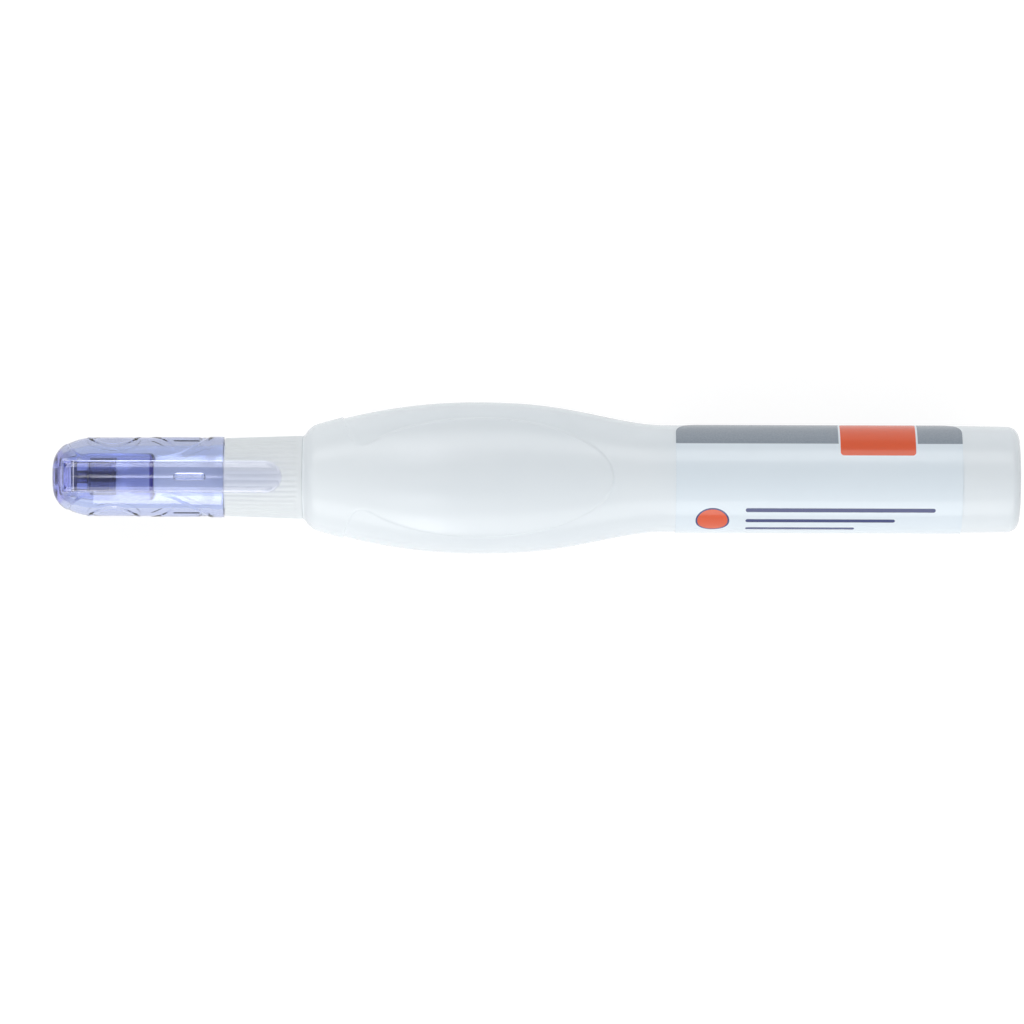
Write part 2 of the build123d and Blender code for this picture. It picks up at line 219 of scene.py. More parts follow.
# Start, end and spacing of the rings along the grip, closest where the pads' edges turn
grip_spans = (
    (tail_front, 13, 0.5), (13, 11.4, 0.27), (11.4, 5, 0.13),
    (5, -20, 0.27), (-20, -27.8, 0.13), (-27.8, -30.4, 0.3),
)
outside_places = np.concatenate((
    barrel_rear - round_stations(0, base_round, end_turn_steps),
    np.linspace(*rear_band, rear_band_steps),
    np.linspace(barrel_rear - tail_taper, tail_front, tail_steps)[:-1],
    *(np.arange(start, end, -spacing) for start, end, spacing in grip_spans),
    barrel_front + round_stations(0, shoulder_round, end_turn_steps)[::-1],
))
mouth_back = barrel_front + barrel_front_wall
bore_end = barrel_rear - barrel_base_wall
inside_places = np.concatenate((
    np.linspace(mouth_back, bore_end - base_round, bore_steps),
    bore_end - round_stations(0, base_round, bore_turn_steps)[::-1],
))
barrel_rings = [round_ring(barrel_rear, radius, barrel_columns) for radius in rear_face_radii]
barrel_rings += [barrel_outside(x) for x in outside_places]
barrel_rings += [
    round_ring(x, mouth_radius, barrel_columns)
    for x in (barrel_front, barrel_front + barrel_wall, mouth_back)
]
barrel_rings += [barrel_inside(x) for x in inside_places]
barrel_rings += [round_ring(bore_end, radius, barrel_columns) for radius in bore_end_radii]
barrel = closed_skin("squeeze_barrel", barrel_rings, crease=35)


def add_node(tree, kind, **inputs):
    """A shader node with its input values set by name, spaces written as underscores."""
    node = tree.nodes.new(kind)
    for name, value in inputs.items():
        node.inputs[name.replace("_", " ")].default_value = value
    return node


def moulding_group():
    """Fine grain and broad clouding of a moulded surface, both from 0 to 1."""
    group = bpy.data.node_groups.new("moulded_surface", "ShaderNodeTree")
    for name, size in (("Grain Scale", 1500.0), ("Cloud Scale", 90.0)):
        socket = group.interface.new_socket(name, in_out="INPUT", socket_type="NodeSocketFloat")
        socket.default_value = size
    for name in ("Grain", "Cloud"):
        group.interface.new_socket(name, in_out="OUTPUT", socket_type="NodeSocketFloat")
    given = group.nodes.new("NodeGroupInput")
    wanted = group.nodes.new("NodeGroupOutput")
    place = group.nodes.new("ShaderNodeTexCoord")
    for name in ("Grain", "Cloud"):
        noise = add_node(group, "ShaderNodeTexNoise", Detail=3.0, Roughness=0.55)
        group.links.new(place.outputs["Object"], noise.inputs["Vector"])
        group.links.new(given.outputs[name + " Scale"], noise.inputs["Scale"])
        group.links.new(noise.outputs["Fac"], wanted.inputs[name])
    return group


moulded_surface = moulding_group()


def moulded_noise(tree, grain_scale):
    """The Grain and Cloud outputs of a moulded surface, with its grain at a scale."""
    surface = tree.nodes.new("ShaderNodeGroup")
    surface.node_tree = moulded_surface
    surface.inputs["Grain Scale"].default_value = grain_scale
    return surface.outputs


def place_axes(tree, kind="Object"):
    """The X, Y and Z outputs of a point's place."""
    place = tree.nodes.new("ShaderNodeTexCoord")
    split = tree.nodes.new("ShaderNodeSeparateXYZ")
    tree.links.new(place.outputs[kind], split.inputs["Vector"])
    return split.outputs


def plain_material(name, **inputs):
    """A material with one Principled shader, whose constant sockets are set here."""
    material = bpy.data.materials.new(name)
    material.use_nodes = True
    tree = material.node_tree
    tree.nodes.clear()
    shader = add_node(tree, "ShaderNodeBsdfPrincipled", **inputs)
    output = tree.nodes.new("ShaderNodeOutputMaterial")
    tree.links.new(shader.outputs["BSDF"], output.inputs["Surface"])
    return material, tree, shader, output


noise_low = 0.3
noise_high = 0.7


def ranged(tree, source, low, high, start=noise_low, end=noise_high):
    """A value, between start and end, carried over to another range."""
    node = tree.nodes.new("ShaderNodeMapRange")
    node.inputs["From Min"].default_value = start
    node.inputs["From Max"].default_value = end
    node.inputs["To Min"].default_value = low
    node.inputs["To Max"].default_value = high
    tree.links.new(source, node.inputs["Value"])
    return node.outputs["Result"]


def mixed_colour(tree, share, first, second):
    """Two colours, or colour outputs, mixed by a share."""
    node = tree.nodes.new("ShaderNodeMix")
    node.data_type = "RGBA"
    # This node has sockets for each kind of value: 6 and 7 are the colours, 2 is their mix
    for socket, value in ((node.inputs[6], first), (node.inputs[7], second)):
        if isinstance(value, tuple):
            socket.default_value = (*value, 1)
        else:
            tree.links.new(value, socket)
    tree.links.new(share, node.inputs[0])
    return node.outputs[2]


def bumped(tree, shader, height, depth):
    """Turns a height from 0 to 1 into the shader's normal, for a depth in millimetres."""
    bump = add_node(tree, "ShaderNodeBump", Strength=1.0, Distance=depth * millimetre)
    tree.links.new(height, bump.inputs["Height"])
    tree.links.new(bump.outputs["Normal"], shader.inputs["Normal"])


def moulded_plastic(name, pale, dark, gloss, grain_depth, grain_scale, **inputs):
    """Moulded plastic: clouded colour, grain in the gloss and a fine orange peel."""
    material, tree, shader, output = plain_material(name, **inputs)
    noise = moulded_noise(tree, grain_scale)
    tint = mixed_colour(tree, ranged(tree, noise["Cloud"], 0, 1), pale, dark)
    tree.links.new(tint, shader.inputs["Base Color"])
    tree.links.new(ranged(tree, noise["Grain"], *gloss), shader.inputs["Roughness"])
    bumped(tree, shader, noise["Grain"], grain_depth)
    return material


barrel_plastic = moulded_plastic(
    "barrel_polyethylene", pale=(0.775, 0.83, 0.87), dark=(0.755, 0.813, 0.856),
    gloss=(0.2, 0.27), grain_depth=0.004, grain_scale=1100, IOR=1.5,
)
# Painted see-through shade: the thin walls show the shaded inside, and the thick shoulder lets
# less of that dark inside through, so it is painted paler
front_less_shade_tint = (0.835, 0.89, 0.928)
front_tint_span = (-31 * millimetre, -12 * millimetre)
tree = barrel_plastic.node_tree
shader = tree.nodes["Principled BSDF"]
at_front = ranged(tree, place_axes(tree)["X"], 1, 0, *front_tint_span)
tint = shader.inputs["Base Color"].links[0].from_socket
# Painted see-through shade: the front of the barrel is mixed paler
tree.links.new(mixed_colour(tree, at_front, tint, front_less_shade_tint), shader.inputs["Base Color"])
barrel.data.materials.append(barrel_plastic)
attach(barrel, "pen")
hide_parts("barrel")

# Label: a printed film, glued round the tail with its seam on the +Y side. Its corners are
# rounded, and it carries a plain grey band, a plain tab, a plain badge and three ruled lines.
label_front = 19.5
label_rear = 59.35
label_inside = 7.47
label_outside = 7.61
label_half_turn = radians(170.2)
label_corner = 3.0
label_columns = 180
label_corner_steps = 12
label_middle_steps = 20


def label_ring(x):
    """One thin loop of the film: the outside from edge to edge, then the inside back."""
    ends = min(x - label_front, label_rear - x)
    half_turn = label_half_turn - round_off(ends, label_corner) / label_outside
    # The seam is on +Y, so the middle of the film faces -Y.
    angles = np.linspace(-half_turn, half_turn, label_columns) - pi / 2
    station = np.full(label_columns, x)
    outside, inside = (
        np.column_stack((station, radius * np.sin(angles), radius * np.cos(angles)))
        for radius in (label_outside, label_inside)
    )
    return np.concatenate((outside, inside[::-1]))


def label_sheet(name):
    """The film as a closed thin sheet."""
    corner = round_stations(0, label_corner, label_corner_steps)
    middle = np.linspace(
        label_front + label_corner, label_rear - label_corner, label_middle_steps
    )
    places = np.concatenate((label_front + corner, middle[1:-1], label_rear - corner[::-1]))
    rings = [label_ring(x) for x in places]
    count = 2 * label_columns
    numbers = np.arange(len(rings) * count).reshape(-1, count).tolist()
    faces = []
    for first, second in zip(numbers, numbers[1:]):
        faces.extend(ring_faces(first, second))
    for loop in (numbers[0], numbers[-1]):
        for i in range(label_columns - 1):
            faces.append((loop[i], loop[i + 1], loop[count - 2 - i], loop[count - 1 - i]))
    return finish_piece(name, np.concatenate(rings), faces, crease=50)


label = label_sheet("tail_label")


def math_node(tree, operation, *values):
    """One math node on numbers or outputs."""
    node = tree.nodes.new("ShaderNodeMath")
    node.operation = operation
    for socket, value in zip(node.inputs, values):
        if isinstance(value, (int, float)):
            socket.default_value = value
        else:
            tree.links.new(value, socket)
    return node.outputs[0]


def in_millimetres(tree, metres):
    """A length given in metres, turned into millimetres."""
    return math_node(tree, "MULTIPLY", metres, 1 / millimetre)


def box_distance(tree, along, around, centre, half_size, corner):
    """Signed distance in millimetres from a rounded box on the unrolled film."""
    outside = []
    for value, middle, half in zip((along, around), centre, half_size):
        offset = math_node(tree, "ABSOLUTE", math_node(tree, "SUBTRACT", value, middle))
        outside.append(math_node(tree, "SUBTRACT", offset, half - corner))
    clipped = [math_node(tree, "MAXIMUM", value, 0) for value in outside]
    squares = [math_node(tree, "MULTIPLY", value, value) for value in clipped]
    far = math_node(tree, "SQRT", math_node(tree, "ADD", *squares))
    near = math_node(tree, "MINIMUM", math_node(tree, "MAXIMUM", *outside), 0)
    return math_node(tree, "SUBTRACT", math_node(tree, "ADD", far, near), corner)


ink_edge = 0.06


def inked(tree, distance):
    """1 where a signed distance is inside a printed shape, with a slightly soft edge."""
    return ranged(tree, distance, 1, 0, -ink_edge / 2, ink_edge / 2)


film_white = (0.745, 0.83, 0.90)
film_pale = (0.73, 0.815, 0.885)
film_gloss = (0.16, 0.24)
film_ripple = 0.03
film_grain = 4200
band_grey = (0.27, 0.315, 0.37)
band_grey_dark = (0.225, 0.265, 0.315)
tab_orange = (0.72, 0.082, 0.012)
rule_navy = (0.022, 0.034, 0.16)
band_lower_edge = 5.3
label_film, tree, shader, output = plain_material(
    "printed_film", IOR=1.5, Coat_Weight=0.3, Coat_Roughness=0.12
)
noise = moulded_noise(tree, film_grain)
axes = place_axes(tree)
along = in_millimetres(tree, axes["X"])
turn = math_node(tree, "ARCTAN2", axes["Y"], axes["Z"])
around = math_node(tree, "MULTIPLY", turn, label_outside)
film = mixed_colour(tree, ranged(tree, noise["Cloud"], 0, 1), film_white, film_pale)
band = mixed_colour(tree, ranged(tree, noise["Grain"], 0, 1), band_grey, band_grey_dark)
in_band = inked(tree, math_node(tree, "SUBTRACT", band_lower_edge, around))
colour = mixed_colour(tree, in_band, film, band)
# Each print: its middle along and around the film, its half sizes, its corner and its ink
for centre, half_size, corner, ink in (
    ((47.6, 7.0), (5.5, 3.9), 0.7, film_white),
    ((47.6, 7.0), (5.25, 3.65), 0.5, tab_orange),
    ((42.4, -4.7), (13.2, 0.34), 0.3, rule_navy),
    ((39.6, -6.7), (10.4, 0.34), 0.3, rule_navy),
    ((36.8, -8.7), (7.6, 0.34), 0.3, rule_navy),
    ((24.6, -6.7), (2.35, 2.35), 2.3, rule_navy),
    ((24.6, -6.7), (2.1, 2.1), 2.05, tab_orange),
):
    ink_share = inked(tree, box_distance(tree, along, around, centre, half_size, corner))
    colour = mixed_colour(tree, ink_share, colour, ink)
tree.links.new(colour, shader.inputs["Base Color"])
tree.links.new(ranged(tree, noise["Grain"], *film_gloss), shader.inputs["Roughness"])
bumped(tree, shader, noise["Cloud"], film_ripple)
label.data.materials.append(label_film)
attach(label, "pen")
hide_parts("label")

# Collar: the neck piece of natural polypropylene, pressed into the barrel's mouth. It has
# fine ribs for the fingers, and a slim stem in front that carries the metal tip.
collar_ribs = 46
collar_steps = 12
collar_columns = collar_ribs * collar_steps
groove_depth = 0.085
groove_shape = 1.6
collar_front = -43.4
band_front = -33.35
rib_fade = 0.18
ribbed_radius = 5.3
# Places along the pen and radii, from the stem's end over the ribs, the plug and the bore
collar_profile = (
    (-59.65, 1.01), (-59.65, 1.4), (-57.0, 1.4), (-52.0, 1.4), (-47.0, 1.4), (-43.4, 1.4),
    (-43.4, 3.3), (-43.4, 5.28), (-43.36, 5.4), (-43.25, 5.46), (-43.0, 5.464), (-42.6, 5.477),
    (-39.0, 5.595), (-35.5, 5.71), (-33.55, 5.774), (-33.35, 5.78), (-32.7, 5.78),
    (-32.55, 5.75), (-32.5, 5.65), (-32.5, 4.47), (-31.4, 4.45), (-31.4, 4.57), (-30.8, 4.57),
    (-30.8, 4.45), (-30.05, 4.45), (-30.05, 4.57), (-29.45, 4.57), (-29.45, 4.45),
    (-28.7, 4.45), (-28.7, 4.57), (-28.1, 4.57), (-28.1, 4.45), (-27.15, 4.45), (-27.0, 4.3),
    (-27.0, 3.45), (-42.0, 3.45), (-42.0, 0.6), (-53.55, 0.6), (-53.55, 1.01),
)


def collar_ring(x, radius):
    """One ring of the collar, with the grooves between its ribs where it is ribbed."""
    depth = 0
    if radius > ribbed_radius:
        ends = min(x - collar_front, band_front - x)
        depth = groove_depth * soft_step(ends / rib_fade)
    wave = 0.5 + 0.5 * np.cos(collar_ribs * turn_angles(collar_columns))
    return round_ring(x, radius - depth * wave**groove_shape, collar_columns)


collar_rings = [collar_ring(x, radius) for x, radius in collar_profile]
numbers = np.arange(len(collar_rings) * collar_columns).reshape(-1, collar_columns).tolist()
collar_faces = []
for first, second in zip(numbers, numbers[1:] + numbers[:1]):
    collar_faces.extend(ring_faces(first, second))
collar = finish_piece("ribbed_collar", np.concatenate(collar_rings), collar_faces, crease=40)
collar_plastic = moulded_plastic(
    "collar_polypropylene", pale=(0.78, 0.82, 0.845), dark=(0.75, 0.795, 0.825),
    gloss=(0.38, 0.48), grain_depth=0.0015, grain_scale=1700, IOR=1.49,
)
collar.data.materials.append(collar_plastic)
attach(collar, "pen")
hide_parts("collar")

# Metal tip, needle, spring and mixing ball: the nozzle is turned from brass and nickel plated,
# the needle and its coil are drawn steel, and the loose ball is polished steel. The coil
# shortens as the needle is pressed in; here a copy of its mesh is shown in place of its node.
line_length = 60
line_depth = 0.002


def turned_metal(name, pale, dark, gloss, lines):
    """Turned or drawn metal, with fine lines round the pen's axis."""
    material, tree, shader, output = plain_material(name, Metallic=1.0)
    place = tree.nodes.new("ShaderNodeTexCoord")
    stretch = tree.nodes.new("ShaderNodeMapping")
    stretch.inputs["Scale"].default_value = (lines, lines / line_length, lines / line_length)
    noise = add_node(tree, "ShaderNodeTexNoise", Scale=1.0, Detail=2.0)
    tree.links.new(place.outputs["Object"], stretch.inputs["Vector"])
    tree.links.new(stretch.outputs["Vector"], noise.inputs["Vector"])
    tint = mixed_colour(tree, ranged(tree, noise.outputs["Fac"], 0, 1), pale, dark)
    tree.links.new(tint, shader.inputs["Base Color"])
    tree.links.new(ranged(tree, noise.outputs["Fac"], *gloss), shader.inputs["Roughness"])
    bumped(tree, shader, noise.outputs["Fac"], line_depth)
    return material


# Painted reflection: the nickel is painted near-black and bluish, standing in for the dark,
# violet surroundings it reflects inside the cap
shaded_tip_metal = turned_metal(
    "nickel_plate_painted_dark", pale=(0.12, 0.12, 0.19), dark=(0.085, 0.085, 0.14),
    gloss=(0.25, 0.4), lines=9000,
)
valve_steel = turned_metal(
    "drawn_steel", pale=(0.55, 0.55, 0.57), dark=(0.42, 0.42, 0.45),
    gloss=(0.2, 0.35), lines=6000,
)
ball_steel = turned_metal(
    "polished_steel", pale=(0.66, 0.66, 0.68), dark=(0.6, 0.6, 0.63),
    gloss=(0.06, 0.14), lines=700,
)
for node, metal in (
    ("metal_tip", shaded_tip_metal),
    ("valve_needle", valve_steel),
    ("valve_spring", valve_steel),
    ("mixing_ball", ball_steel),
):
    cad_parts[node].data.materials.clear()
    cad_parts[node].data.materials.append(metal)

coil = bpy.data.objects.new("valve_coil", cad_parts["valve_spring"].data.copy())
bpy.context.scene.collection.objects.link(coil)
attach(coil, "pen")
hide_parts("valve_spring")
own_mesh(coil)

# Cap seal: a dark rubber pad at the closed end of the cap's sleeve. The nozzle's nose stands
# in its dimple, so the fluid can't dry.
seal_rubber = moulded_plastic(
    "seal_rubber", pale=(0.08, 0.08, 0.14), dark=(0.065, 0.065, 0.12),
    gloss=(0.55, 0.75), grain_depth=0.01, grain_scale=2500,
)
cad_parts["cap_seal"].data.materials.clear()
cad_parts["cap_seal"].data.materials.append(seal_rubber)

# Cap: clear violet polystyrene, moulded in one with its pocket clip and an inner sleeve that
# closes on the metal tip. Each side has a recessed panel with a raised ring and a raised arrow.
cap_columns = 384
cap_crease = 30
cap_end = -67.5
cap_mouth = -43.5
cap_radius = 5.65
cap_flat_radius = 1.4
cap_dome_end = -65.55
cap_dome_round = 3.683
cap_flank_end = -61.5
cap_flank_round = 8.7
panel_depth = 0.14
panel_half_height = 5.06
panel_front_turn = (-61.9, 3.6)
panel_rear_turn = (-52.7, 7.1)
panel_edge_width = 0.45
mark_rise = 0.07
mark_edge_width = 0.18
ring_centre = -58.97
ring_middle_radius = 3.42
ring_half_width = 0.27
arrow_point = -53.7
arrow_neck = -50.5
arrow_end = -46.9
arrow_head_half_width = 3.55
arrow_shaft_half_width = 2.4
arrow_overlap = 0.2


def cap_outer_radius(x):
    """The cap's turned radius at a place along it, before panels and marks."""
    if x < cap_dome_end:
        return cap_flat_radius + sqrt(cap_dome_round**2 - (cap_dome_round - x + cap_end) ** 2)
    if x < cap_flank_end:
        fall = cap_flank_round - sqrt(cap_flank_round**2 - (cap_flank_end - x) ** 2)
        return cap_radius - fall
    return cap_radius


def panel_cover(x, z):
    """1 inside a recessed panel, whose ends are drawn out into quarter ovals."""
    front, front_length = panel_front_turn
    rear, rear_length = panel_rear_turn
    beyond = max(0, (front - x) / front_length, (x - rear) / rear_length)
    reach = np.sqrt(beyond**2 + (z / panel_half_height) ** 2)
    return soft_step(0.5 - (reach - 1) * panel_half_height / panel_edge_width)


def mark_cover(x, z):
    """1 on the raised ring and the raised arrow, which points to the closed end."""
    from_ring = np.abs(np.hypot(x - ring_centre, z) - ring_middle_radius) - ring_half_width
    slope = arrow_head_half_width / (arrow_neck - arrow_point)
    from_edge = (np.abs(z) - (x - arrow_point) * slope) / sqrt(1 + slope**2)
    from_head = np.maximum(from_edge, x - arrow_neck)
    from_shaft = np.maximum(np.abs(z) - arrow_shaft_half_width, x - arrow_end)
    from_shaft = np.maximum(from_shaft, arrow_neck - arrow_overlap - x)
    nearest = np.minimum(from_ring, np.minimum(from_head, from_shaft))
    return soft_step(0.5 - nearest / mark_edge_width)


def cap_ring(x):
    """One outer ring of the cap, with the panels and their marks."""
    radius = cap_outer_radius(x)
    up = radius * np.sin(turn_angles(cap_columns))
    panel = panel_cover(x, up)
    reach = radius - panel_depth * panel + mark_rise * mark_cover(x, up) * panel
    return round_ring(x, reach, cap_columns)


sleeve_radius = 3.3
sleeve_bore = 2.15
sleeve_rim = -53.25
rim_round = (sleeve_radius - sleeve_bore) / 2
rim_steps = 11
rim_turn = np.linspace(pi / 2, -pi / 2, rim_steps)
# Places along the pen and radii, from the mouth along the shell's bore and back on the sleeve
shell_bore = (
    (cap_mouth, 5.55), (cap_mouth, 4.62), (-43.57, 4.55), (-44.9, 4.55), (-45.2, 4.535),
    (-45.5, 4.475), (-45.8, 4.415), (-46.1, 4.4), (-50.0, 4.4), (-56.0, 4.4), (-61.5, 4.4),
    (-62.5, 4.36), (-63.4, 4.2), (-64.2, 3.98), (-64.9, 3.74), (-65.5, 3.45), (-65.9, 3.17),
    (-66.15, 2.9), (-66.24, 2.74), (-66.2, 2.64), (-66.0, 2.62), (-65.0, 2.75), (-64.0, 2.98),
    (-63.0, 3.2), (-62.3, sleeve_radius), (-58.0, sleeve_radius),
)
rim_bore = tuple(zip(
    sleeve_rim - rim_round * (1 - np.cos(rim_turn)),
    sleeve_bore + rim_round * (1 + np.sin(rim_turn)),
))
sleeve_end = -63.8
end_wall_inside = -66.35
sleeve_inside = (
    (-57.0, sleeve_bore), (sleeve_end, sleeve_bore), (-63.85, 1.52), (-66.3, 1.52),
    (end_wall_inside, 1.4), (end_wall_inside, 0.8),
)
cap_bore = shell_bore + rim_bore + sleeve_inside
cap_flat_radii = (0.5, 1.1, cap_flat_radius)
cap_mouth_edge = (cap_mouth - 0.04, 5.64)
cap_last_ring = cap_mouth - 0.1
cap_ring_spacing = 0.12
dome_steps = 14
dome_shares = np.linspace(0.12, 1.0, dome_steps) ** 2
cap_places = np.concatenate((
    dome_shares * (cap_dome_end - cap_end) + cap_end,
    np.arange(cap_dome_end + cap_ring_spacing, cap_last_ring, cap_ring_spacing),
))
cap_rings = [round_ring(cap_end, radius, cap_columns) for radius in cap_flat_radii]
cap_rings += [cap_ring(x) for x in cap_places]
cap_rings += [round_ring(x, radius, cap_columns) for x, radius in (cap_mouth_edge, *cap_bore)]
cap = closed_skin("clear_cap", cap_rings, cap_crease)

clip_half_width = 2.225
clip_under = 6.95
clip_top = 8.1
clip_root = -65.7
clip_root_rear = -64.3
clip_end = -35.3
clip_heel = 0.25
clip_crotch = 0.2
clip_top_edge = 0.42
clip_low_edge = 0.14
clip_sink = 0.35
clip_half_columns = 22
clip_first_gap = 0.001
clip_heel_steps = 12
clip_root_steps = 6
clip_crotch_steps = 8
clip_arm_steps = 60
clip_end_steps = 22


def clip_ring(x):
    """One loop round the clip: its top from side to side, then its underside back."""
    middle = clip_end - clip_half_width
    half = clip_half_width
    if x > middle:
        half = sqrt(max(clip_half_width**2 - (x - middle) ** 2, tiny))
    across = -half * np.cos(np.linspace(0, pi, clip_half_columns))
    inward = clip_half_width - np.hypot(max(0, x - middle), across)
    crown = np.sqrt(clip_top**2 - across**2)
    top = crown - round_off(x - clip_root, clip_heel) - round_off(inward, clip_top_edge)
    if x <= clip_root_rear:
        low = np.sqrt((cap_outer_radius(x) - clip_sink) ** 2 - across**2)
    else:
        low = clip_under - round_off(x - clip_root_rear, clip_crotch)
        low = low + round_off(inward, clip_low_edge)
    station = np.full(clip_half_columns, x)
    upper = np.column_stack((station, across, top))
    lower = np.column_stack((station, across, low))
    return np.concatenate((upper, lower[::-1]))


clip_root_front = clip_root + clip_heel + 0.3
clip_arm_front = clip_root_rear + 1
clip_end_turn = np.linspace(0.05, pi / 2 - 0.03, clip_end_steps)
clip_places = np.concatenate((
    clip_root + round_stations(clip_first_gap, clip_heel, clip_heel_steps),
    np.linspace(clip_root_front, clip_root_rear, clip_root_steps),
    clip_root_rear + round_stations(clip_first_gap, clip_crotch, clip_crotch_steps),
    np.linspace(clip_arm_front, clip_end - clip_half_width, clip_arm_steps),
    clip_end - clip_half_width * (1 - np.sin(clip_end_turn)),
))
clip = closed_skin("cap_clip", [clip_ring(x) for x in clip_places], crease=40)

bead_centre = -48.1
bead_half_length = 2.25
bead_half_width = 0.53
bead_rise = 0.27
bead_sunk_height = 0.4
bead_middle = clip_under + 0.05
bead_least = 1e-4
bead_columns = 32
bead_turn_steps = 8
bead_steps = 12


def bead_ring(x):
    """One ring of the pill-shaped bead below the clip, its upper half sunk in the clip."""
    beyond = max(0, abs(x - bead_centre) - bead_half_length + bead_half_width)
    share = sqrt(max(1 - (beyond / bead_half_width) ** 2, bead_least))
    angles = turn_angles(bead_columns)
    up = np.sin(angles)
    height = np.where(up < 0, -bead_rise * up**2, bead_sunk_height * up) * share
    across = bead_half_width * share * np.cos(angles)
    return np.column_stack((np.full(bead_columns, x), across, bead_middle + height))


bead_turn = bead_half_width * np.sin(np.linspace(0.1, pi / 2 - 0.02, bead_turn_steps))
bead_straight = bead_half_length - bead_half_width
bead_places = np.concatenate((
    bead_centre - bead_straight - bead_turn[::-1],
    np.linspace(bead_centre - bead_straight, bead_centre + bead_straight, bead_steps),
    bead_centre + bead_straight + bead_turn,
))
bead = closed_skin("clip_bead", [bead_ring(x) for x in bead_places], crease=60)

for added in (clip, bead):
    join = cap.modifiers.new(added.name, "BOOLEAN")
    join.operation = "UNION"
    join.solver = "MANIFOLD"
    join.object = added
graph = bpy.context.evaluated_depsgraph_get()
cap_mesh = bpy.data.meshes.new_from_object(cap.evaluated_get(graph))
cap.modifiers.clear()
cap.data = cap_mesh
cap_mesh.shade_smooth()
cap_mesh.set_sharp_from_angle(angle=radians(cap_crease))
for added in (clip, bead):
    bpy.data.objects.remove(added)

shell_pale = (0.81, 0.864, 0.98)
shell_deep = (0.79, 0.845, 0.975)
shell_shade = (0.92, 0.92, 0.96)
cap_gloss = (0.01, 0.05)
cap_grain_depth = 0.0015
cap_grain = 900
clip_tint = (0.98, 0.975, 0.998)
clip_shade = (0.985, 0.985, 0.995)
clip_edge = (cap_radius + 0.2, cap_radius + 0.4)
# Painted shade: the inner sleeve is painted a deeper violet than the shell
sleeve_painted_shade = (0.715, 0.73, 0.915)
sleeve_edge = (sleeve_radius + 0.1, sleeve_radius + 0.2)
# The closed end, by the distance to the side: clear before the air room, and painted deep violet
# beside it as shade
room_tint = (0.985, 0.985, 0.995)
room_edge = (2.35, 2.75)
room_rear = (sleeve_end - 1.5, sleeve_end - 0.3)
shoulder_painted_shade = (0.54, 0.56, 0.76)
shoulder_edge = (3.4, 4.2)
# Painted shade: where light runs along the plastic, in the end wall and the sleeve's rim, it
# looks deeper, so these are painted a deeper, darker violet
end_wall_painted_shade = (0.46, 0.46, 0.99)
end_wall_edge = (end_wall_inside - 0.15, end_wall_inside + 0.1)
end_wall_haze = 0.12
rim_painted_shade = (0.07, 0.05, 0.34)
rim_half_band = 0.375
rim_band_middle = sleeve_rim - 0.275
rim_edge = (rim_half_band - 0.1, rim_half_band)
absorbing_tint = (0.17, 0.29, 0.84, 1)
absorbing_density = 110.0

cap_plastic, tree, shader, output = plain_material(
    "violet_polystyrene", IOR=1.5, Transmission_Weight=1.0
)
noise = moulded_noise(tree, cap_grain)
axes = place_axes(tree)
along = in_millimetres(tree, axes["X"])
aside = math_node(tree, "ABSOLUTE", in_millimetres(tree, axes["Y"]))
squares = [math_node(tree, "MULTIPLY", axes[name], axes[name]) for name in ("Y", "Z")]
from_axis = in_millimetres(tree, math_node(tree, "SQRT", math_node(tree, "ADD", *squares)))
from_rim = math_node(tree, "ABSOLUTE", math_node(tree, "SUBTRACT", along, rim_band_middle))
on_sleeve = ranged(tree, from_axis, 1, 0, *sleeve_edge)
on_clip = ranged(tree, from_axis, 0, 1, *clip_edge)
at_room = ranged(tree, along, 1, 0, *room_rear)
beside_room = ranged(tree, aside, 0, 1, *room_edge)
beyond_shoulder = ranged(tree, aside, 0, 1, *shoulder_edge)
in_end = ranged(tree, along, 1, 0, *end_wall_edge)
rim_shade_mask = math_node(tree, "MULTIPLY", ranged(tree, from_rim, 1, 0, *rim_edge), on_sleeve)

shell_tint = mixed_colour(tree, ranged(tree, noise["Cloud"], 0, 1), shell_pale, shell_deep)
# Painted shade: the dome's shoulder beside the air room is painted deep violet
end_tint_and_shade = mixed_colour(tree, beside_room, room_tint, shoulder_painted_shade)
end_tint_and_shade = mixed_colour(tree, beyond_shoulder, end_tint_and_shade, shell_tint)
# Painted shade: the sleeve's surfaces take the deeper sleeve colour
tint = mixed_colour(tree, on_sleeve, shell_tint, sleeve_painted_shade)
tint = mixed_colour(tree, at_room, tint, end_tint_and_shade)
tint = mixed_colour(tree, on_clip, tint, clip_tint)
# Painted shade: the end wall and the sleeve's rim are mixed into deeper, darker violet
tint = mixed_colour(tree, in_end, tint, end_wall_painted_shade)
tint = mixed_colour(tree, rim_shade_mask, tint, rim_painted_shade)
tree.links.new(tint, shader.inputs["Base Color"])
gloss = ranged(tree, noise["Grain"], *cap_gloss)
gloss = math_node(tree, "MULTIPLY_ADD", in_end, end_wall_haze, gloss)
tree.links.new(gloss, shader.inputs["Roughness"])
bumped(tree, shader, noise["Grain"], cap_grain_depth)

# Light falls through the cap on what lies behind it, with a light violet shade
light_path = tree.nodes.new("ShaderNodeLightPath")
clear = tree.nodes.new("ShaderNodeBsdfTransparent")
tree.links.new(mixed_colour(tree, on_clip, shell_shade, clip_shade), clear.inputs["Color"])
passing = math_node(
    tree, "MAXIMUM", light_path.outputs["Is Shadow Ray"], light_path.outputs["Is Diffuse Ray"]
)
either = tree.nodes.new("ShaderNodeMixShader")
tree.links.new(passing, either.inputs["Fac"])
tree.links.new(shader.outputs["BSDF"], either.inputs[1])
tree.links.new(clear.outputs["BSDF"], either.inputs[2])
tree.links.new(either.outputs["Shader"], output.inputs["Surface"])
depth_tint = add_node(
    tree, "ShaderNodeVolumeAbsorption", Color=absorbing_tint, Density=absorbing_density
)
tree.links.new(depth_tint.outputs["Volume"], output.inputs["Volume"])
cap.data.materials.clear()
cap.data.materials.append(cap_plastic)
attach(cap, "cap")
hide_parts("cap")
